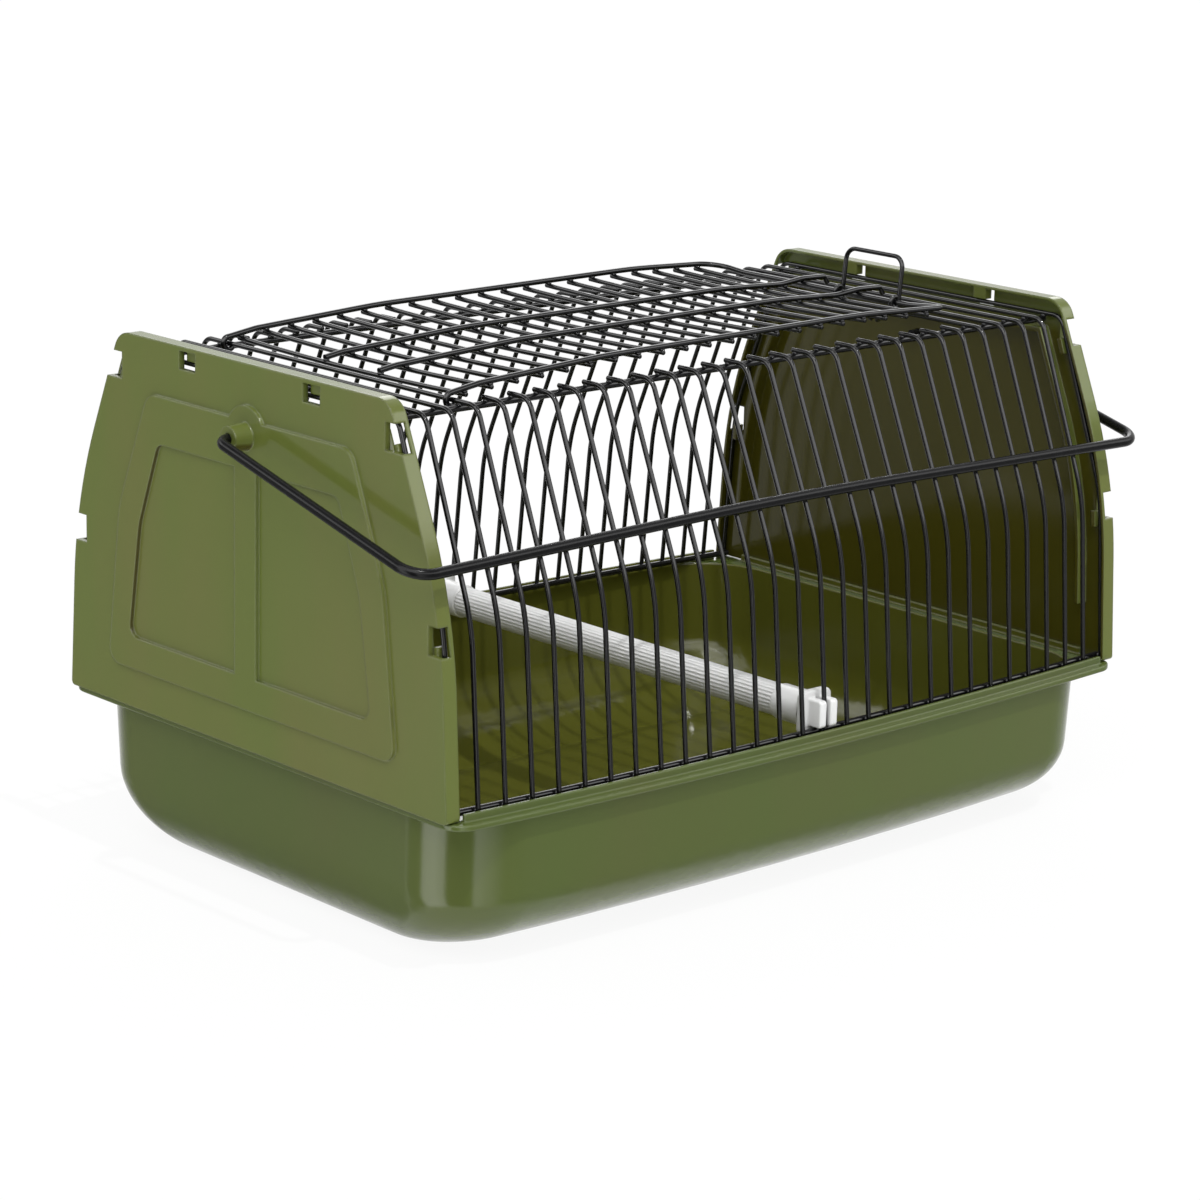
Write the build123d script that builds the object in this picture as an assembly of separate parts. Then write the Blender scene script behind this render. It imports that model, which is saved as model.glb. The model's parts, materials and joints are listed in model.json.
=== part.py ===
from build123d import *
from math import asin, atan2, cos, degrees, pi, radians, sin, sqrt
import os

# Bird travel carrier: a moulded tray, two moulded end panels, and a welded wire cage between
# them with a door in its top, a swinging carry handle and one perch across the inside.
# Millimetres. X runs along the carrier, -Y is its front, +Z is up.
# The origin is the middle of the flat bottom of the tray.

# ---------------------------------------------------------------- driving dimensions
# whole carrier
length = 300.0              # over the outer faces of the two end panels
bar_pitch = 10.1            # spacing of the wire bars along X
bar_count = 30              # bars from one end panel to the other, the outermost two included

# wire sizes
bar_d = 1.6                 # upright bars and door bars
cross_rod_d = 2.2           # rods that run along X and tie the bars together
door_rod_d = 1.9            # frame and rods of the door
handle_d = 3.4
latch_d = 1.6

# tray
tray_height = 50.5          # underside of the tray to the top of its lip
tray_wall = 2.0
tray_corner = 28.0          # upright corners, outside
tray_draft = 1.5            # each wall leans in by this much from lip to bottom
round_height = 24.0         # the walls turn under to the flat bottom over this height
round_side = 39.0           # depth of that turn on the long sides
round_end = 16.0            # and at the short ends
round_steps = (0, 15, 30, 45, 60, 75, 90)   # angles at which the turn is drawn
lip_step = 2.8              # how far the lip stands out past the walls
lip_end_gap = 1.2           # lip ends inside the outer faces of the panels
end_step = 4.3              # lip past the walls at the short ends
lip_thick = 2.0
lip_corner = 8.0
rim_bow = 5.7               # outward bow of the long sides at the lip
bottom_bow = 5.0            # outward bow of the long sides at the bottom
upstand_height = 2.6        # low fence on the lip that holds the cage in place
upstand_thick = 1.4
upstand_gap = 0.5           # between the feet of the bars and the fence
end_upstand_half = 84.0     # half length of the fence at the two short ends

# end panel outline, heights above the panel's own bottom edge
panel_height = 122.3
panel_foot_half = 96.0      # half width at the bottom
panel_knee_half = 92.2      # half width at the bend
panel_knee_z = 63.6
panel_top_half = 67.5       # half width at the top, before rounding
panel_knee_r = 160.0
panel_top_r = 8.0
panel_foot_r = 1.5
panel_thick = 2.0
flange_depth = 5.2          # rim round the panel, measured from its outer face
flange_thick = 1.0
bead_inset = 10.5           # inner rib, parallel to the rim
bead_thick = 1.6
bead_height = 4.5           # how far the rib stands off the plate
bead_foot = 8.0             # the rib stops this far above the bottom edge
seat_gap = 0.2              # panel bottoms over the lip

# relief on the outer face of each panel
field_rise = 1.2
field_bottom = 13.4
field_foot_half = 73.0
field_knee_half = 66.6
field_knee_z = 66.0
field_top_half = 50.8
field_top = 104.9
window_bottom = 24.0
window_foot_half = 61.6
window_knee_half = 55.8
window_knee_z = 62.0
window_top_half = 45.4
window_top = 89.7
mullion_half = 5.5

# openings for the snap tabs
tab_window_depth = 6.2      # reach inwards from the outline
tab_window_skin = 1.2       # strip of rim left beside each opening
low_window_z = 54.3
low_window_height = 9.0
high_window_z = 111.4
high_window_height = 8.6
top_slot_y = 31.1
top_slot_z = 118.0          # middle of the slots under the top of the rim
top_slot_width = 8.2
top_slot_height = 5.8
tab_width = 5.6
tab_drop = 5.0              # tabs sit this much below the middle of the side openings
tab_thick = 1.8
tab_clear = 0.3             # tab to bar

# handle and its bosses
boss_z = 100.0              # above the bottom edge of the panel
boss_d = 8.0
boss_root_d = 9.0
boss_dome_d = 19.2
boss_reach = 7.6            # past the plate
boss_clear = 0.08           # radial running clearance of the handle ends
pin_inner = 3.4             # length of the handle end inside the plate
leg_out = 4.0               # centre of the leg past the end of the boss, at the boss
leg_close = 0.8             # the legs lean in by this much towards the grip
handle_reach = 96.4         # boss axis to grip
handle_rest = 14.4          # degrees below level at rest
handle_bow = 5.6            # the grip is bowed in towards the bosses
handle_corner_r = 8.0
handle_bow_r = 1500.0       # bend in the middle of the grip
handle_boss_r = 4.2

# cage wires, heights above the bottom edge of the panels
hoop_inset_foot = 2.7       # end hoops inside the outline of the panels, at the foot
hoop_inset_knee = 3.0       # at the bend
hoop_inset_top = 0.1        # and at the top corners
foot_z = 0.5
foot_bow = 5.7              # bars in the middle stand this much further out at the foot
knee_z = 57.5
knee_r = 60.0
knee_bow_share = 0.75       # part of the bow that is left at the bend
top_z = 116.5               # centre of the wires on top
top_r = 5.0
hook_reach = 58.3           # half distance between the ends of the short bars
touch = 0.04                # welded wires just touch
cross_half = 59.5           # top rods, under the bars
bottom_rod_z = 1.6
door_side_bars = (4, 24)    # first and last bar that are cut short for the door

# door in the top
door_half = 55.3            # front and back rods of the door frame
door_bar_half = 56.2
door_bar_sag = 1.0
door_first_x = 5.05         # first door bar, from the hinge bar
door_bars = 21
door_arch = ((-105.0, 120.2), (-55.0, 122.9), (60.0, 124.0))
door_arch_r = (20.0, 300.0, 300.0)
door_side_x = 99.5
door_side_z = 122.4
door_side_flat = 121.0
door_side_flat_half = 40.0
door_side_bend_r = 30.0
door_front_corner = 2.6
door_back_corner = 9.0
curl_clear = 0.3
curl_turn = 255.0
mid_rod_gap = 26.8
mid_rod_shift = -2.2
mid_rod_overhang = 0.6       # past the first door bar
mid_rod_knee_x = 89.0
mid_rod_end = 112.0
mid_rod_fall = 0.3
mid_rod_tip_bend = 1.5
mid_rod_tip_drop = 2.4

# latch loop on the free side of the door
latch_half = 13.2
latch_y = -19.8
latch_top = 136.0
latch_lean = 1.6
latch_corner = 4.0
latch_clear = 0.08          # running clearance of the eyes
latch_offset = 0.12         # the legs stand just outside the middle of the eyes
latch_throat = 118.6
catch_z = 112.6
catch_clear = 0.3
catch_gap = 0.6

# perch
perch_d = 10.6
perch_bar = 15              # the bar that the clips straddle
perch_z = 7.0               # centre above the bottom edge of the panels
flute_count = 26
flute_d = 1.1
flute_out = 0.25            # middle of a flute outside the rod
clip_length = 13.0          # collar of the clip, from the fluted part to the flange
collar_d = 11.8
socket_d = 9.0
socket_fit = 0.1
socket_depth = 8.0
flange_plate = 2.8
flange_inset = 1.3          # back of the flange inside the feet of the end hoops
flange_w = 13.0
flange_h = 14.6
prong_reach = 7.0           # prongs past the feet of the end hoops
prong_w = 3.0
prong_h = 9.0
prong_clear = 0.15
prong_rest = 0.3            # prongs over the bottom rod

# ---------------------------------------------------------------- values that follow
end_x = length / 2
base_z = tray_height + seat_gap                     # bottom edge of panels and cage
bar_r = bar_d / 2
cross_r = cross_rod_d / 2
door_r = door_rod_d / 2
latch_r = latch_d / 2
first_bar_x = -bar_pitch * (bar_count - 1) / 2
hinge_x = first_bar_x + 3 * bar_pitch
stop_x = first_bar_x + 25 * bar_pitch
foot_half = panel_foot_half - hoop_inset_foot       # half distance between the feet of the end hoops
knee_half = panel_knee_half - hoop_inset_knee
top_half = panel_top_half - hoop_inset_top
flange_back = foot_half - flange_inset
prong_tip = foot_half + prong_reach
clip_start = flange_back - clip_length
knee_turn = atan2(knee_half - top_half, top_z - knee_z) - atan2(foot_half - knee_half, knee_z - foot_z)
knee_round = knee_r * (1 / cos(knee_turn / 2) - 1)
upstand_in = foot_half + bar_r + upstand_gap
upstand_out = upstand_in + upstand_thick
wall_half_y = upstand_out
lip_half_y = wall_half_y + lip_step
lip_half_x = end_x - lip_end_gap
wall_half_x = lip_half_x - end_step


def bar_x(number):
    return first_bar_x + bar_pitch * number


def bow_at(x, bow):
    """Outward bow of a long side at a place along it."""
    return bow * (1 - (x / end_x) ** 2)


def wire(line, diameter):
    """A round wire along a line."""
    path = Wire(line.edges())
    start = Plane(origin=path @ 0, z_dir=path % 0)
    section = start * Circle(diameter / 2)
    return sweep(section, path=path)


def bent_wire(points, radii, diameter):
    """A round wire through corner points, with one bend radius for each corner between."""
    return wire(FilletPolyline(*points, radius=radii), diameter)


# ---------------------------------------------------------------- tray
def bowed_outline(half_x, half_y, bow, corner, z):
    """A rectangle with rounded corners whose long sides bow outwards."""
    front = ThreePointArc((-half_x, -half_y), (0, -half_y - bow), (half_x, -half_y))
    right = Line((half_x, -half_y), (half_x, half_y))
    back = ThreePointArc((half_x, half_y), (0, half_y + bow), (-half_x, half_y))
    left = Line((-half_x, half_y), (-half_x, -half_y))
    face = make_face(front + right + back + left)
    face = fillet(face.vertices(), corner)
    return Plane.XY.offset(z) * face


def tray_section(inset, z, side, end):
    """The outline of the tray at a height, with its sides and ends turned in."""
    share = z / tray_height
    lean = inset + tray_draft * (1 - share)
    return bowed_outline(wall_half_x - lean - end, wall_half_y - lean - side,
                         bottom_bow + (rim_bow - bottom_bow) * share,
                         tray_corner - inset - end, z).face()


def tray_shell(inset, floor):
    """The body of the tray, drawn in by inset, from floor up to the lip."""
    turned = []
    for angle in round_steps:
        share = 1 - sin(radians(angle))
        z = floor + (round_height - floor) * (1 - cos(radians(angle)))
        turned.append(tray_section(inset, z, (round_side - inset) * share, (round_end - inset) * share))
    rim = tray_section(inset, tray_height, 0, 0)
    return loft(turned) + loft([turned[-1], rim], ruled=True)


def make_tray():
    body = tray_shell(0, 0)
    lip = extrude(bowed_outline(lip_half_x, lip_half_y, rim_bow, lip_corner,
                                tray_height - lip_thick), lip_thick)
    lip = fillet(lip.edges().group_by(Axis.Z)[0], 0.6)
    hollow = tray_shell(tray_wall, tray_wall)

    fence_band = bowed_outline(lip_half_x, upstand_out, rim_bow, 1.0, tray_height)
    fence_band -= bowed_outline(lip_half_x + 1, upstand_in, rim_bow, 1.0, tray_height)
    fence = extrude(fence_band, upstand_height)
    fence_end = end_x - flange_depth - 1.5
    fence &= Box(2 * fence_end, 4 * lip_half_y, 4 * tray_height)
    end_fence_x = end_x - panel_thick - seat_gap - upstand_thick / 2
    for side in (-1, 1):
        fence += Pos(side * end_fence_x, 0, tray_height + upstand_height / 2) * Box(
            upstand_thick, 2 * end_upstand_half, upstand_height)
    return body + lip + fence - hollow


# ---------------------------------------------------------------- end panels
def mirrored_outline(points, radii):
    """A closed outline from one half: points run up the +Y side, radii round each of them."""
    corners = list(points) + [(-y, z) for y, z in reversed(points)]
    face = make_face(Polyline(*corners, close=True))
    for (y, z), radius in zip(points, radii):
        if radius:
            near = [v for v in face.vertices()
                    if abs(abs(v.X) - y) < 0.01 and abs(v.Y - z) < 0.01]
            face = fillet(near, radius)
    return face


def panel_face():
    points = [(panel_foot_half, 0), (panel_knee_half, panel_knee_z), (panel_top_half, panel_height)]
    return mirrored_outline(points, (panel_foot_r, panel_knee_r, panel_top_r))


def outline_y(z):
    """Half width of the panel outline at a height, before its corners are rounded."""
    if z < panel_knee_z:
        return panel_foot_half + (panel_knee_half - panel_foot_half) * z / panel_knee_z
    share = (z - panel_knee_z) / (panel_height - panel_knee_z)
    return panel_knee_half + (panel_top_half - panel_knee_half) * share


def make_tab(side, mid):
    """A small catch behind an opening in the rim; it leans with the hoop that it holds."""
    half = tab_width / 2
    below, above = bar_half_at(mid - half), bar_half_at(mid + half)
    lean = degrees(atan2(below - above, tab_width))
    rounding = knee_round if abs(mid - knee_z) < tab_width else 0
    y = (below + above) / 2 - rounding - bar_r - tab_clear - tab_thick / 2
    deep = flange_depth - panel_thick
    return Pos(side * y, mid, panel_thick + deep / 2) * Rot(0, 0, side * lean) * Box(
        tab_thick, tab_width, deep)


def make_panel():
    """The left panel. Drawn flat, then stood up: local X is Y, local Y is Z, local Z is inwards."""
    outline = panel_face()
    plate = extrude(outline, panel_thick)
    rim = extrude(outline - offset(outline, -flange_thick, kind=Kind.ARC), flange_depth)
    rim -= Pos(0, 0, panel_thick + flange_depth) * Box(
        2 * (panel_foot_half - flange_thick), 2 * flange_thick + 2, 2 * flange_depth)
    bead = extrude(offset(outline, -bead_inset, kind=Kind.ARC)
                   - offset(outline, -bead_inset - bead_thick, kind=Kind.ARC),
                   panel_thick + bead_height)
    bead -= Box(2 * panel_foot_half, 2 * (bead_inset + bead_foot), 4 * flange_depth)
    panel = plate + rim + bead

    field = mirrored_outline([(field_foot_half, field_bottom), (field_knee_half, field_knee_z),
                              (field_top_half, field_top)], (5, 40, 6))
    field += Pos(0, boss_z) * Circle(boss_dome_d / 2)
    window = mirrored_outline([(window_foot_half, window_bottom), (window_knee_half, window_knee_z),
                               (window_top_half, window_top)], (4, 30, 4))
    mullion = Pos(0, (window_bottom + window_top) / 2) * Rectangle(
        2 * mullion_half, 2 * (window_top - window_bottom))
    field -= window - mullion
    raised = extrude(field, -field_rise)
    panel += raised

    boss = Pos(0, boss_z, -boss_reach) * Cone(
        boss_d / 2, boss_root_d / 2, boss_reach, align=(Align.CENTER, Align.CENTER, Align.MIN))
    panel += boss
    bore_d = handle_d + 2 * boss_clear
    panel -= Pos(0, boss_z, 0) * Cylinder(bore_d / 2, 4 * boss_reach)

    cut_depth = flange_depth - tab_window_skin
    for side in (-1, 1):
        for mid, height in ((low_window_z, low_window_height), (high_window_z, high_window_height)):
            y = outline_y(mid)
            panel -= Pos(side * y, mid, cut_depth - flange_depth) * Box(
                2 * tab_window_depth, height, 2 * flange_depth)
            panel += make_tab(side, mid - tab_drop)
        panel -= Pos(side * top_slot_y, top_slot_z, 0) * Box(
            top_slot_width, top_slot_height, 2 * panel_thick)
        tab_foot = top_z + bar_r + tab_clear
        tab_middle = (side * top_slot_y, (tab_foot + panel_height) / 2, (panel_thick + flange_depth) / 2)
        panel += Pos(*tab_middle) * Box(tab_width, panel_height - tab_foot, flange_depth - panel_thick)
    stand = Plane(origin=(-end_x, 0, base_z), x_dir=(0, 1, 0), z_dir=(1, 0, 0))
    return stand * panel


# ---------------------------------------------------------------- cage wires
def bar_half_at(z):
    """Half distance between front and back bars at a height above the panels' bottom edge."""
    if z < knee_z:
        return foot_half + (knee_half - foot_half) * (z - foot_z) / (knee_z - foot_z)
    return knee_half + (top_half - knee_half) * (z - knee_z) / (top_z - knee_z)


def side_points(number, side):
    """Foot, bend and top corner of one bar, on the front (-1) or the back (1)."""
    x = bar_x(number)
    bow = bow_at(x, foot_bow)
    foot = (x, side * (foot_half + bow), base_z + foot_z)
    knee = (x, side * (knee_half + bow * knee_bow_share), base_z + knee_z)
    top = (x, side * top_half, base_z + top_z)
    return [foot, knee, top]


def make_hoop(number):
    points = side_points(number, -1) + side_points(number, 1)[::-1]
    return bent_wire(points, [knee_r, top_r, top_r, knee_r], bar_d)


def make_short_bars(side):
    bars = []
    for number in range(door_side_bars[0], door_side_bars[1] + 1):
        tip = (bar_x(number), side * hook_reach, base_z + top_z)
        bars.append(bent_wire(side_points(number, side) + [tip], [knee_r, top_r], bar_d))
    return Compound(children=bars)


def make_top_rod(side):
    z = base_z + top_z - bar_r - cross_r - touch
    ends = bar_x(0), bar_x(bar_count - 1)
    return wire(Line((ends[0], side * cross_half, z), (ends[1], side * cross_half, z)), cross_rod_d)


def make_bottom_rod(side):
    inset = bar_r + cross_r + touch
    y = foot_half - inset - (bottom_rod_z / knee_z) * (foot_half - knee_half)
    end = bar_x(bar_count - 1)
    z = base_z + bottom_rod_z
    arc = ThreePointArc((-end, side * (y + bow_at(end, foot_bow)), z), (0, side * (y + foot_bow), z),
                        (end, side * (y + bow_at(end, foot_bow)), z))
    return wire(arc, cross_rod_d)


# ---------------------------------------------------------------- door
curl_r = bar_r + curl_clear + door_r


def curl_arc(side):
    """The end of a door frame rod, curled round the hinge bar, and the point where it leaves it."""
    centre = (hinge_x, base_z + top_z)
    first = (door_arch[0][0], base_z + door_arch[0][1])
    gap = sqrt((first[0] - centre[0]) ** 2 + (first[1] - centre[1]) ** 2)
    heading = atan2(first[1] - centre[1], first[0] - centre[0]) - asin(curl_r / gap)
    angle = heading + pi / 2
    points = []
    for share in (1, 0.5, 0):
        turn = angle + radians(curl_turn) * share
        points.append((centre[0] + curl_r * cos(turn), side * door_half, centre[1] + curl_r * sin(turn)))
    return ThreePointArc(*points), points[-1]


def frame_path():
    front_curl, front_start = curl_arc(-1)
    back_curl, back_start = curl_arc(1)
    front = [(x, -door_half, base_z + z) for x, z in door_arch]
    back = [(x, door_half, base_z + z) for x, z in reversed(door_arch)]
    side_z, flat_z = base_z + door_side_z, base_z + door_side_flat
    side = [(door_side_x, -door_half, side_z), (door_side_x, -door_side_flat_half, flat_z),
            (door_side_x, door_side_flat_half, flat_z), (door_side_x, door_half, side_z)]
    radii = list(door_arch_r) + [door_front_corner, door_side_bend_r, door_side_bend_r,
                                 door_back_corner] + list(door_arch_r)[::-1]
    middle = FilletPolyline(front_start, *front, *side, *back, back_start, radius=radii)
    return Wire(front_curl.edges() + middle.edges() + back_curl.edges())


def rod_z(path, x):
    """Height of the door frame's front rod at a place along it."""
    low, high = 0.0, 0.5
    for step in range(40):
        middle = (low + high) / 2
        point = path @ middle
        if point.Y > -door_half + 0.5 or (point.X > x and point.Y < -door_half + 0.5):
            high = middle
        else:
            low = middle
    return (path @ low).Z


def door_bar_ends(path):
    """The place along X and the height of the ends of each door bar."""
    ends = []
    for count in range(door_bars):
        x = hinge_x + door_first_x + bar_pitch * count
        sag_here = door_bar_sag * (1 - (door_half / door_bar_half) ** 2)
        ends.append((x, rod_z(path, x) - door_r - bar_r - touch + sag_here))
    return ends


def make_door_bars(path):
    bars = []
    for x, z in door_bar_ends(path):
        arc = ThreePointArc((x, -door_bar_half, z), (x, 0, z - door_bar_sag), (x, door_bar_half, z))
        bars.append(wire(arc, bar_d))
    return Compound(children=bars)


def make_mid_rod(path, y):
    """A rod that lies on the door bars; its free end reaches past the next hoop and turns down."""
    sag = door_bar_sag * (1 - (y / door_bar_half) ** 2)
    start_x = hinge_x + door_first_x - mid_rod_overhang
    points = [(start_x, y, rod_z(path, start_x) - sag)]
    points += [(x, y, base_z + z - sag) for x, z in door_arch]
    points.append((mid_rod_knee_x, y, rod_z(path, mid_rod_knee_x) - sag))
    over_side = base_z + door_side_flat + 2 * door_r + touch
    points.append((door_side_x, y, over_side))
    points.append((mid_rod_end - mid_rod_tip_bend, y, over_side - mid_rod_fall))
    points.append((mid_rod_end, y, over_side - mid_rod_fall - mid_rod_tip_drop))
    radii = list(door_arch_r) + [door_side_bend_r, door_side_bend_r, mid_rod_tip_bend]
    return bent_wire(points, radii, door_rod_d)


# ---------------------------------------------------------------- latch
def make_latch():
    """A wire loop on two eyes round the side of the door; its lower ends meet as a catch."""
    eye_r = door_r + latch_clear + latch_r
    leg_x = door_side_x + eye_r + latch_offset
    eye_z = base_z + door_side_flat
    catch_x = stop_x - bar_r - catch_clear - latch_r
    path = []
    for side in (1, -1):
        y = latch_y + side * latch_half
        hook_y = latch_y + side * (latch_r + catch_gap / 2)
        leg = [(catch_x, hook_y, base_z + catch_z), (leg_x, y, base_z + latch_throat),
               (leg_x, y, eye_z), (leg_x + latch_lean, y, base_z + latch_top)]
        path += leg if side == 1 else leg[::-1]
    radii = [2.5, 12.0, latch_corner, latch_corner, 12.0, 2.5]
    latch = bent_wire(path, radii, latch_d)
    for side in (-1, 1):
        eye = Plane(origin=(door_side_x, latch_y + side * latch_half, eye_z), z_dir=(0, 1, 0))
        latch += eye * Torus(eye_r, latch_r)
    return latch


# ---------------------------------------------------------------- carry handle
def make_handle():
    axis_z = base_z + boss_z
    rest = radians(handle_rest)
    leg_x = end_x + boss_reach + leg_out
    grip_x = leg_x - leg_close

    def grip(x, reach):
        return (x, -reach * cos(rest), axis_z - reach * sin(rest))

    pin_end = end_x - panel_thick - pin_inner
    points = [(-pin_end, 0, axis_z), (-leg_x, 0, axis_z), grip(-grip_x, handle_reach),
              grip(0, handle_reach - handle_bow), grip(grip_x, handle_reach),
              (leg_x, 0, axis_z), (pin_end, 0, axis_z)]
    radii = [handle_boss_r, handle_corner_r, handle_bow_r, handle_corner_r, handle_boss_r]
    return bent_wire(points, radii, handle_d)


# ---------------------------------------------------------------- perch
def perch_centre():
    return bar_x(perch_bar), base_z + perch_z


def make_perch_rod():
    x, z = perch_centre()
    profile = Circle(perch_d / 2)
    for count in range(flute_count):
        flute = Pos(perch_d / 2 + flute_out) * Circle(flute_d / 2)
        profile -= Rot(0, 0, 360 * count / flute_count) * flute
    rod = extrude(profile, clip_start, both=True)
    rod += Cylinder(socket_d / 2 - socket_fit, 2 * (clip_start + socket_depth))
    return Plane(origin=(x, 0, z), z_dir=(0, 1, 0)) * rod


def make_perch_clip(side):
    """Drawn standing on the end of the rod: local Z points outwards, local Y up."""
    x, z = perch_centre()
    collar = Pos(0, 0, clip_start) * Cylinder(
        collar_d / 2, flange_back - clip_start, align=(Align.CENTER, Align.CENTER, Align.MIN))
    plate = extrude(Plane.XY.offset(flange_back) * RectangleRounded(flange_w, flange_h, 2.4), flange_plate)
    socket = Pos(0, 0, clip_start) * Cylinder(
        socket_d / 2, 2 * (socket_depth + 0.2), align=(Align.CENTER, Align.CENTER, Align.CENTER))
    clip = collar + plate - socket
    rod_top = bottom_rod_z + cross_r
    prong_bottom = rod_top + prong_rest - perch_z
    face = flange_back + flange_plate
    for hand in (-1, 1):
        prong_x = hand * (bar_r + prong_clear + prong_w / 2)
        prong = Pos(prong_x, prong_bottom + prong_h / 2, (face + prong_tip) / 2 - 0.5) * Box(
            prong_w, prong_h, prong_tip - face + 1)
        prong = fillet(prong.edges().filter_by(Axis.X).group_by(Axis.Z)[-1], 1.2)
        clip += prong
    return Plane(origin=(x, 0, z), x_dir=(1 if side < 0 else -1, 0, 0), z_dir=(0, side, 0)) * clip


# ---------------------------------------------------------------- write one file per sub-part
def main():
    os.makedirs("parts", exist_ok=True)
    left = make_panel()
    path = frame_path()
    door_centre = mid_rod_shift
    pieces = {
        "tray": make_tray(),
        "left_panel": left,
        "right_panel": Rot(0, 0, 180) * left,
        "top_rod_front": make_top_rod(-1),
        "top_rod_back": make_top_rod(1),
        "bottom_rod_front": make_bottom_rod(-1),
        "bottom_rod_back": make_bottom_rod(1),
        "front_bars": make_short_bars(-1),
        "back_bars": make_short_bars(1),
        "door_frame": wire(path, door_rod_d),
        "door_bars": make_door_bars(path),
        "door_rod_front": make_mid_rod(path, door_centre - mid_rod_gap / 2),
        "door_rod_back": make_mid_rod(path, door_centre + mid_rod_gap / 2),
        "door_latch": make_latch(),
        "carry_handle": make_handle(),
        "perch_rod": make_perch_rod(),
        "perch_clip_front": make_perch_clip(-1),
        "perch_clip_back": make_perch_clip(1),
    }
    hoops = [n for n in range(bar_count) if not door_side_bars[0] <= n <= door_side_bars[1]]
    for number in hoops:
        pieces["hoop_%02d" % number] = make_hoop(number)
    for name, shape in pieces.items():
        export_step(shape, "parts/%s.step" % name)
        print(name, "volume %.0f" % shape.volume)


main()
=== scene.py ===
import bmesh
import bpy
import json
from math import pi, radians
from mathutils import Matrix, Vector
from mathutils.bvhtree import BVHTree

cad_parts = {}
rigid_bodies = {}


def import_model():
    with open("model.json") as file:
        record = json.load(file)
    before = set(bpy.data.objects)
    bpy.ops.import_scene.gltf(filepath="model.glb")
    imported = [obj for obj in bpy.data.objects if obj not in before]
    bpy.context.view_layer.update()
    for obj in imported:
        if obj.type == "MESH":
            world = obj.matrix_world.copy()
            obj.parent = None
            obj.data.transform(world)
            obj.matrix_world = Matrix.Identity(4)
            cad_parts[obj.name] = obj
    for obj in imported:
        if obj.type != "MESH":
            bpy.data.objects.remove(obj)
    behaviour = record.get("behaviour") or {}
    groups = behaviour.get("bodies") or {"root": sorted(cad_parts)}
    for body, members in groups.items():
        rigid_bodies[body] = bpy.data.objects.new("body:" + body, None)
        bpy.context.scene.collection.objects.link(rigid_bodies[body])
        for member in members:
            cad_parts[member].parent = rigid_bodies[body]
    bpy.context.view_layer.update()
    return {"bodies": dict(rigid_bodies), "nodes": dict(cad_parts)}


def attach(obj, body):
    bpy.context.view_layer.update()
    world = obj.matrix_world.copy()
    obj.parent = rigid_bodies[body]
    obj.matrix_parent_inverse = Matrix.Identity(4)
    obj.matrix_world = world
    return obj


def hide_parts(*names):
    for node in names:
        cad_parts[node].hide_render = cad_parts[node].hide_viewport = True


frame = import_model()


# ------------------------------------------------------------------ tray
# The tray is one deep moulding in olive polypropylene, open on top, with a lip that carries
# the cage and a low fence along the lip that keeps it from sliding off. Its walls turn under
# in one large round, and every moulded edge is slightly soft.
tray_olive = (0.086, 0.118, 0.026)
tray_cloud = (0.091, 0.113, 0.027)
# painted shade: the tray's colour where it faces into the cabin, darker and browner as if the cage
# kept the light out
tray_cabin_shade = (0.098, 0.102, 0.014)
tray_roughness = 0.13
tray_edge = 0.00045                         # how far its softened edges reach
soften_from = radians(24)                   # only edges that turn more than this are softened
same_corner = 0.00001                       # corners nearer than this are one
flat_within = radians(0.4)                  # faces that turn less than this are one
soft_edge = 0.0010                          # radius of the roundness in the shading
plastic_ior = 1.49
patches_low, patches_high = 0.3, 0.7        # most of a patchy pattern lies between these
gloss_spread = 0.03
flow_scale = (30.0, 30.0, 9.0)              # the clouds in the plastic are drawn out upwards
cloudy_from, cloudy_to = 0.35, 0.70
sink_scale, sink_strength, sink_depth = 22.0, 0.25, 0.0010      # broad shallow waves
peel_scale, peel_strength, peel_depth = 900.0, 0.05, 0.0002     # a fine skin over them
cabin_middle = (0.0, 0.0, 0.045)
cabin_shade_from, cabin_shade_to = -0.012, -0.036       # the painted shade inside the cabin comes in over this span
cabin_top, cabin_top_blend = 0.164, 0.003   # and ends here, within the blend up and down


def tree(owner):
    """The shader nodes of a material or of the world, and the links between them."""
    owner.use_nodes = True
    return owner.node_tree.nodes, owner.node_tree.links


def add(nodes, kind, **values):
    """A shader node with some of its inputs or settings filled in."""
    node = nodes.new(kind)
    for name, value in values.items():
        if name in node.inputs:
            node.inputs[name].default_value = value
        else:
            setattr(node, name, value)
    return node


def span(nodes, links, value, low, high, start, end):
    """Maps a value from the span low to high onto the span start to end, and stops there."""
    node = add(nodes, "ShaderNodeMapRange")
    for name, number in (("From Min", low), ("From Max", high), ("To Min", start), ("To Max", end)):
        node.inputs[name].default_value = number
    links.new(value, node.inputs["Value"])
    return node.outputs["Result"]


def times(nodes, links, first, second):
    """The product of two values."""
    node = add(nodes, "ShaderNodeMath", operation="MULTIPLY")
    links.new(first, node.inputs[0])
    links.new(second, node.inputs[1])
    return node.outputs["Value"]


def mix(nodes, links, share, first, second):
    """A colour between two, each of them a fixed colour or the output of a node."""
    node = add(nodes, "ShaderNodeMixRGB")
    links.new(share, node.inputs["Fac"])
    for name, colour in (("Color1", first), ("Color2", second)):
        if isinstance(colour, bpy.types.NodeSocket):
            links.new(colour, node.inputs[name])
        else:
            node.inputs[name].default_value = (*colour, 1)
    return node.outputs["Color"]


def patches(nodes, links, place, scale, detail=2.0):
    """Soft random patches, from 0 to 1, over a position."""
    node = add(nodes, "ShaderNodeTexNoise", Scale=scale, Detail=detail)
    links.new(place, node.inputs["Vector"])
    return node.outputs["Fac"]


def uneven_gloss(nodes, links, spots, roughness, spread):
    """A roughness that wanders a little with the patches."""
    return span(nodes, links, spots, patches_low, patches_high, roughness - spread,
                roughness + spread)


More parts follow.
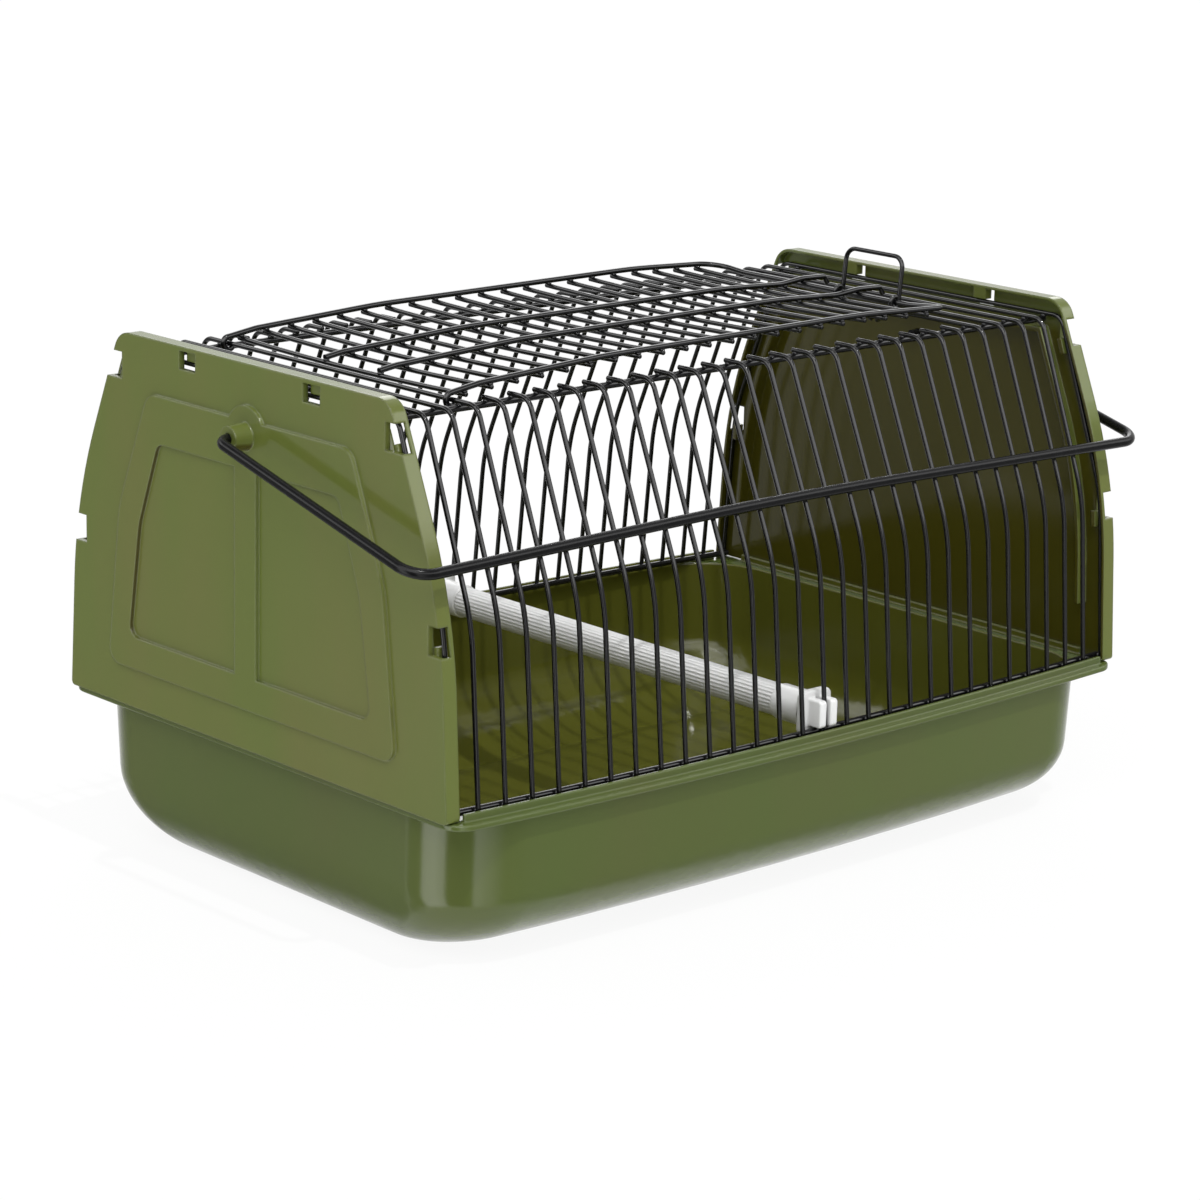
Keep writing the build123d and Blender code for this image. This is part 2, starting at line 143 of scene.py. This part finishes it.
def relief(nodes, links, height, strength, depth, smooth=None):
    """A normal that follows a height, on top of the smooth normal if one is given."""
    node = add(nodes, "ShaderNodeBump", Strength=strength, Distance=depth)
    links.new(height, node.inputs["Height"])
    if smooth is not None:
        links.new(smooth, node.inputs["Normal"])
    return node.outputs["Normal"]


def rounded_edges(nodes):
    """A normal that turns smoothly round the edges."""
    return add(nodes, "ShaderNodeBevel", samples=6, Radius=soft_edge).outputs["Normal"]


def cabin_shade_mask(nodes, links, place, normal):
    """The mask of the painted shade: one where the surface looks at the middle of the cabin from
    below its top, else nought.
    """
    from_middle = add(nodes, "ShaderNodeVectorMath", operation="SUBTRACT")
    from_middle.inputs[1].default_value = cabin_middle
    links.new(place, from_middle.inputs[0])
    outwards = add(nodes, "ShaderNodeVectorMath", operation="DOT_PRODUCT")
    links.new(from_middle.outputs["Vector"], outwards.inputs[0])
    links.new(normal, outwards.inputs[1])
    inwards = span(nodes, links, outwards.outputs["Value"], cabin_shade_from, cabin_shade_to, 0, 1)
    height = add(nodes, "ShaderNodeSeparateXYZ")
    links.new(place, height.inputs["Vector"])
    below_top = span(nodes, links, height.outputs["Z"], cabin_top - cabin_top_blend,
                     cabin_top + cabin_top_blend, 1, 0)
    return times(nodes, links, inwards, below_top)


def moulded_plastic(name, colour, cloud, cabin_shade, roughness):
    """Glossy moulded plastic, faintly cloudy, with painted shade where it faces the cabin."""
    material = bpy.data.materials.new(name)
    nodes, links = tree(material)
    plastic = nodes["Principled BSDF"]
    plastic.inputs["IOR"].default_value = plastic_ior
    coordinates = add(nodes, "ShaderNodeTexCoord")
    place, normal = coordinates.outputs["Object"], coordinates.outputs["Normal"]

    drawn_out = add(nodes, "ShaderNodeMapping", Scale=flow_scale)
    links.new(place, drawn_out.inputs["Vector"])
    flow = patches(nodes, links, drawn_out.outputs["Vector"], scale=1.0)
    clouds = span(nodes, links, flow, cloudy_from, cloudy_to, 0, 1)
    outside = mix(nodes, links, clouds, colour, cloud)
    # painted shade on the faces that look into the cabin, below its top
    inside = cabin_shade_mask(nodes, links, place, normal)
    links.new(mix(nodes, links, inside, outside, cabin_shade), plastic.inputs["Base Color"])
    links.new(uneven_gloss(nodes, links, flow, roughness, gloss_spread), plastic.inputs["Roughness"])

    sink = patches(nodes, links, place, sink_scale, detail=1.0)
    waves = relief(nodes, links, sink, sink_strength, sink_depth, rounded_edges(nodes))
    peel = patches(nodes, links, place, peel_scale)
    skin = relief(nodes, links, peel, peel_strength, peel_depth, waves)
    links.new(skin, plastic.inputs["Normal"])
    return material


def moulded_piece(name, node, edge, material, body, merge_flats=False):
    """The shape of a CAD node with its moulded edges softened, in place of that node."""
    shape = bmesh.new()
    shape.from_mesh(frame["nodes"][node].data)
    bmesh.ops.remove_doubles(shape, verts=shape.verts, dist=same_corner)
    if merge_flats:
        bmesh.ops.dissolve_limit(shape, angle_limit=flat_within, verts=shape.verts,
                                 edges=shape.edges)
    for face in shape.faces:
        face.smooth = True
    mesh = bpy.data.meshes.new(name)
    shape.to_mesh(mesh)
    shape.free()
    mesh.materials.append(material)
    piece = bpy.data.objects.new(name, mesh)
    bpy.context.scene.collection.objects.link(piece)
    soften = piece.modifiers.new("soft edges", "BEVEL")
    soften.width, soften.segments = edge, 2
    soften.limit_method, soften.angle_limit = "ANGLE", soften_from
    soften.use_clamp_overlap = False
    flats = piece.modifiers.new("flat faces", "WEIGHTED_NORMAL")
    flats.mode = "FACE_AREA"
    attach(piece, body)
    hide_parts(node)


tray_plastic = moulded_plastic("tray plastic", tray_olive, tray_cloud, tray_cabin_shade, tray_roughness)
moulded_piece("tray_moulding", "tray", tray_edge, tray_plastic, "tray")


# ------------------------------------------------------------------ end panels
# Each end of the cage is a moulded plate of the same plastic with a rim round it, a raised
# field with two sunk windows, and a boss for the handle. It snaps over the outermost hoop
# with small tabs that show through the openings in its rim.
panel_olive = (0.124, 0.156, 0.033)
panel_cloud = (0.138, 0.150, 0.036)
# painted shade: the panels' colour where they face into the cabin, much darker, as if the cage kept
# the light out
panel_cabin_shade = (0.066, 0.060, 0.006)
panel_roughness = 0.12


def dress(node, material):
    """Gives a CAD node its material."""
    piece = frame["nodes"][node]
    piece.data.materials.clear()
    piece.data.materials.append(material)


panel_plastic = moulded_plastic("panel plastic", panel_olive, panel_cloud, panel_cabin_shade,
                                panel_roughness)
for side in ("left", "right"):
    dress(side + "_panel", panel_plastic)


# ------------------------------------------------------------------ cage wires
# The cage is drawn steel wire, spot welded where bars and rods cross and then coated in
# glossy black. The coating is thick enough to round the cut ends and the welds.
coat_dark = (0.0025, 0.0025, 0.0028)
coat_pale = (0.0060, 0.0060, 0.0065)
coat_scale, coat_strength, coat_depth = 260.0, 0.12, 0.0002
coat_spread = 0.04
wire_gloss, wire_roughness = 0.5, 0.14


def black_coating(name, gloss, roughness):
    """Black paint on wire: glossy, with a slightly uneven surface."""
    material = bpy.data.materials.new(name)
    nodes, links = tree(material)
    coat = nodes["Principled BSDF"]
    coat.inputs["Specular IOR Level"].default_value = gloss
    place = add(nodes, "ShaderNodeTexCoord").outputs["Object"]
    spots = patches(nodes, links, place, coat_scale)
    links.new(mix(nodes, links, spots, coat_dark, coat_pale), coat.inputs["Base Color"])
    links.new(uneven_gloss(nodes, links, spots, roughness, coat_spread), coat.inputs["Roughness"])
    links.new(relief(nodes, links, spots, coat_strength, coat_depth), coat.inputs["Normal"])
    return material


wire_paint = black_coating("black wire coating", wire_gloss, wire_roughness)
wire_bodies = [frame["bodies"][body] for body in ("cage", "door", "latch")]
for node, piece in frame["nodes"].items():
    if piece.parent in wire_bodies and not node.endswith("panel"):
        dress(node, wire_paint)


# ------------------------------------------------------------------ welds and wire ends
# A spot weld squeezes a small nugget out beside each crossing, and the paint draws up into a
# drop on every cut end. The nuggets sit where a bar touches the rod that it crosses.
bar_count, door_bar_count = 30, 21
bar_pitch = 0.0101
bar_radius = 0.0008
first_bar = -(bar_count - 1) / 2 * bar_pitch
door_first_bar = first_bar + 3.5 * bar_pitch        # the door's bars lie between the others
short_bars = range(4, 25)                           # these stop at the door
nugget = (0.0011, 0.0011, 0.0007)
side_nugget = (0.0011, 0.0007, 0.0011)
swell = bar_radius * 1.03                           # the paint stands out a little at an end
foot_cap = (swell, swell, 0.0004)
tip_cap = (swell, 0.0005, swell)
foot_height = 0.0512                                # lower ends of the bars
top_wires = 0.1672                                  # hooked ends of the bars beside the door
hook_end, door_bar_end = 0.0583, 0.0562             # bar ends, front and back from the middle
crown_inset = 0.0002                                # just inside the end of a door bar
door_side = 0.0553                                  # long wires of the door frame
far = 1                                             # well outside the carrier
up, down = Vector((0, 0, 1)), Vector((0, 0, -1))


def surface(node):
    """The triangles of a CAD node, to be asked where a straight line meets them."""
    mesh = frame["nodes"][node].data
    return BVHTree.FromPolygons([v.co for v in mesh.vertices], [p.vertices for p in mesh.polygons])


def box_middle(node):
    """The middle of the box round a CAD node."""
    return sum((Vector(corner) for corner in frame["nodes"][node].bound_box), Vector()) / 8


def drop(shape, place, size):
    """A small round lump of metal or paint."""
    bmesh.ops.create_uvsphere(shape, u_segments=8, v_segments=6, radius=1.0,
                              matrix=Matrix.Translation(place) @ Matrix.Diagonal((*size, 1)))


def paint_drops(name, shape, body):
    """Turns the collected drops into one piece that rides a body."""
    for face in shape.faces:
        face.smooth = True
    mesh = bpy.data.meshes.new(name)
    shape.to_mesh(mesh)
    shape.free()
    mesh.materials.append(wire_paint)
    piece = bpy.data.objects.new(name, mesh)
    bpy.context.scene.collection.objects.link(piece)
    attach(piece, body)


drops = bmesh.new()
for side, name in ((-1, "front"), (1, "back")):
    top_rod, bottom_rod = surface("top_rod_" + name), surface("bottom_rod_" + name)
    rod_y = box_middle("top_rod_" + name).y
    rod_z = box_middle("bottom_rod_" + name).z
    for number in range(bar_count):
        x = first_bar + number * bar_pitch
        place = top_rod.ray_cast(Vector((x, rod_y, far)), down)[0]
        if place:
            drop(drops, place, nugget)
        place = bottom_rod.ray_cast(Vector((x, side * far, rod_z)), Vector((0, -side, 0)))[0]
        if place:
            drop(drops, place, side_nugget)
            drop(drops, Vector((x, place.y + side * bar_radius, foot_height)), foot_cap)
        if number in short_bars:
            drop(drops, Vector((x, side * hook_end, top_wires)), tip_cap)
paint_drops("cage_paint_drops", drops, "cage")

drops = bmesh.new()
frame_wires, bars = surface("door_frame"), surface("door_bars")
mid_rods = {name: surface("door_rod_" + name) for name in ("front", "back")}
for number in range(door_bar_count):
    x = door_first_bar + number * bar_pitch
    for side in (-1, 1):
        place = frame_wires.ray_cast(Vector((x, side * door_side, 0)), up)[0]
        if place:
            drop(drops, place, nugget)
        crown = bars.ray_cast(Vector((x, side * (door_bar_end - crown_inset), far)), down)[0]
        if crown:
            drop(drops, Vector((x, side * door_bar_end, crown.z - bar_radius)), tip_cap)
    for name, rods in mid_rods.items():
        place = rods.ray_cast(Vector((x, box_middle("door_rod_" + name).y, 0)), up)[0]
        if place:
            drop(drops, place, nugget)
paint_drops("door_paint_drops", drops, "door")


# ------------------------------------------------------------------ carry handle
# One length of thicker black wire, bent into a bail. Its two ends turn inwards through the
# bosses of the end panels, and at rest it leans on the front bars.
handle_gloss, handle_roughness = 0.20, 0.24
handle_paint = black_coating("black handle coating", handle_gloss, handle_roughness)
dress("carry_handle", handle_paint)


# ------------------------------------------------------------------ perch
# A fluted tube of white polystyrene with a moulded clip pressed on each end. The clips
# straddle a bar and rest on the bottom rods of the cage.
perch_white = (0.86, 0.86, 0.85)
perch_shade = (0.79, 0.79, 0.78)
perch_cloud_scale = 60.0
perch_roughness = 0.32
clip_edge = 0.0005


def white_plastic(name):
    """Smooth white plastic with a faint warm cloudiness."""
    material = bpy.data.materials.new(name)
    nodes, links = tree(material)
    plastic = nodes["Principled BSDF"]
    plastic.inputs["Roughness"].default_value = perch_roughness
    place = add(nodes, "ShaderNodeTexCoord").outputs["Object"]
    clouds = patches(nodes, links, place, perch_cloud_scale)
    links.new(mix(nodes, links, clouds, perch_shade, perch_white), plastic.inputs["Base Color"])
    links.new(rounded_edges(nodes), plastic.inputs["Normal"])
    return material


perch_plastic = white_plastic("perch plastic")
dress("perch_rod", perch_plastic)
for side in ("front", "back"):
    moulded_piece("perch_end_" + side, "perch_clip_" + side, clip_edge, perch_plastic, "perch",
                  merge_flats=True)


# ------------------------------------------------------------------ table
# The carrier stands on a large round table top of matt white board, in front of a white
# backdrop. The camera sees it nearly pure white, with the carrier's soft shadow on it.
table_radius = 9.0
table_white = (0.95, 0.95, 0.95)
glow_share = 0.92                           # how much of the board's look is its own glow
white = (1, 1, 1)


def shader_mix(nodes, links, share, first, second):
    """A mixture of two shaders: the second one has the share."""
    node = add(nodes, "ShaderNodeMixShader")
    links.new(share, node.inputs["Fac"])
    links.new(first.outputs[0], node.inputs[1])
    links.new(second.outputs[0], node.inputs[2])
    return node


def white_board(name):
    """Matt white board that glows for the camera alone, and lights nothing by that."""
    material = bpy.data.materials.new(name)
    nodes, links = tree(material)
    nodes.clear()
    matt = add(nodes, "ShaderNodeBsdfDiffuse", Color=(*table_white, 1))
    glow = add(nodes, "ShaderNodeEmission", Color=(*white, 1), Strength=1.0)
    ray = add(nodes, "ShaderNodeLightPath")
    share = add(nodes, "ShaderNodeMath", operation="MULTIPLY")
    share.inputs[1].default_value = glow_share
    links.new(ray.outputs["Is Camera Ray"], share.inputs[0])
    board = shader_mix(nodes, links, share.outputs["Value"], matt, glow)
    end = add(nodes, "ShaderNodeOutputMaterial")
    links.new(board.outputs[0], end.inputs["Surface"])
    return material


shape = bmesh.new()
bmesh.ops.create_circle(shape, cap_ends=True, segments=64, radius=table_radius)
table_mesh = bpy.data.meshes.new("table_top")
shape.to_mesh(table_mesh)
shape.free()
table_mesh.materials.append(white_board("white table"))
table = bpy.data.objects.new("table_top", table_mesh)
bpy.context.scene.collection.objects.link(table)
table.visible_glossy = False


# ------------------------------------------------------------------ light
# A white room lights the carrier. A broad lamp hangs above the camera, a low one behind
# lights the upper edges, and a small high one in front draws the shadows of the bars. Glossy
# surfaces mirror another room, with a soft box on the left and one beside the camera.
room_light, room_tint = 0.62, (0.98, 0.99, 1.0)
box_light = 3.0                             # how bright a level of 1 looks in a mirror
# How bright the mirrored room is round the compass, from the left (0) over the front (0.25),
# the right (0.5) and the back (0.75) to the left again (1).
room_start = 0.85
room_levels = ((0.028, 0.85), (0.036, 0.05), (0.130, 0.05), (0.138, 0.62), (0.200, 0.34),
               (0.245, 0.12), (0.290, 0.12), (0.450, 0.16), (0.560, 0.30), (0.700, 0.30),
               (0.800, 0.08), (0.858, 0.12), (0.862, 0.22), (0.874, 0.22), (0.878, 0.10),
               (0.935, 0.08), (0.946, 0.85))
floor_level = 1 / box_light                 # the mirrored floor is as white as the table
floor_top = (-0.74, -0.64)                  # it ends between these slopes
band_foot, band_top = (0.26, 0.34), (0.58, 0.66)    # slopes of a raised band of light
back_right = (1, 1, 0)
back_from, back_to = 0.45, 0.80             # the band leaves out the back right corner


def grey(level):
    """A neutral colour of some brightness."""
    return (level, level, level)


def room_walls(nodes, links, way):
    """The brightness of the room's walls, round the compass."""
    turn = add(nodes, "ShaderNodeTexGradient", gradient_type="RADIAL")
    links.new(way, turn.inputs["Vector"])
    walls = add(nodes, "ShaderNodeValToRGB")
    stops = walls.color_ramp.elements
    for place, level in room_levels:
        stops.new(place).color = (*grey(level), 1)
    stops[0].color = (*grey(room_start), 1)
    links.new(turn.outputs["Fac"], walls.inputs["Fac"])
    return walls.outputs["Color"]


def light_band(nodes, links, way, slope):
    """One inside the raised band of light, which leaves out one corner, else nought."""
    rise = span(nodes, links, slope, *band_foot, 0, 1)
    fall = span(nodes, links, slope, *band_top, 1, 0)
    toward_back = add(nodes, "ShaderNodeVectorMath", operation="DOT_PRODUCT")
    toward_back.inputs[1].default_value = back_right
    links.new(way, toward_back.inputs[0])
    open_side = span(nodes, links, toward_back.outputs["Value"], back_from, back_to, 1, 0)
    return times(nodes, links, times(nodes, links, rise, fall), open_side)


def mirrored_room(nodes, links):
    """What glossy surfaces mirror: the floor, the walls and the band of light."""
    way = add(nodes, "ShaderNodeTexCoord").outputs["Generated"]
    slope = add(nodes, "ShaderNodeSeparateXYZ")
    links.new(way, slope.inputs["Vector"])
    above_floor = span(nodes, links, slope.outputs["Z"], *floor_top, 0, 1)
    walls = room_walls(nodes, links, way)
    floor_and_walls = mix(nodes, links, above_floor, grey(floor_level), walls)
    band = light_band(nodes, links, way, slope.outputs["Z"])
    mirrored = add(nodes, "ShaderNodeBackground", Strength=box_light)
    links.new(mix(nodes, links, band, floor_and_walls, white), mirrored.inputs["Color"])
    return mirrored


def lamp(name, energy, width, height, heading):
    """A far lamp of some apparent width, at a height and a heading, all in degrees."""
    data = bpy.data.lights.new(name, "SUN")
    data.energy = energy
    data.angle = radians(width)
    holder = bpy.data.objects.new(name, data)
    holder.rotation_euler = (pi / 2 - radians(height), 0, radians(heading))
    bpy.context.scene.collection.objects.link(holder)


world = bpy.data.worlds.new("studio")
bpy.context.scene.world = world
nodes, links = tree(world)
nodes.clear()
backdrop = add(nodes, "ShaderNodeBackground", Color=(*white, 1), Strength=1.0)
room = add(nodes, "ShaderNodeBackground", Color=(*room_tint, 1), Strength=room_light)
ray = add(nodes, "ShaderNodeLightPath")
seen = add(nodes, "ShaderNodeMath", operation="ADD")
links.new(ray.outputs["Is Camera Ray"], seen.inputs[0])
links.new(ray.outputs["Is Transmission Ray"], seen.inputs[1])
plain = shader_mix(nodes, links, seen.outputs["Value"], room, backdrop)
whole = shader_mix(nodes, links, ray.outputs["Is Glossy Ray"], plain, mirrored_room(nodes, links))
links.new(whole.outputs[0], add(nodes, "ShaderNodeOutputWorld").inputs["Surface"])

lamp("broad lamp", energy=0.9, width=35, height=50, heading=-50)
lamp("rim lamp", energy=0.5, width=30, height=28, heading=137)
lamp("small lamp", energy=1.1, width=1.0, height=66, heading=0)


# ------------------------------------------------------------------ camera
# A long lens a little above the carrier, off its front left corner, tipped down at it and
# turned a little about its own line of sight.
camera_place = (-0.80853, -0.87546, 0.38524)
camera_heading = radians(42.615)
camera_tilt, camera_roll = radians(-14.551), radians(1.414)
camera_data = bpy.data.cameras.new("camera")
camera_data.lens = 109.985
camera_data.sensor_width = 36.0
camera_data.shift_x, camera_data.shift_y = 0.0002, -0.0009
camera_data.clip_start, camera_data.clip_end = 0.05, 50.0
camera = bpy.data.objects.new("camera", camera_data)
camera.matrix_world = (Matrix.Translation(camera_place)
                       @ Matrix.Rotation(-camera_heading, 4, "Z")
                       @ Matrix.Rotation(pi / 2 + camera_tilt, 4, "X")
                       @ Matrix.Rotation(camera_roll, 4, "Z"))
bpy.context.scene.collection.objects.link(camera)
bpy.context.scene.camera = camera
bpy.context.scene.view_settings.view_transform = "Standard"

bpy.context.view_layer.update()
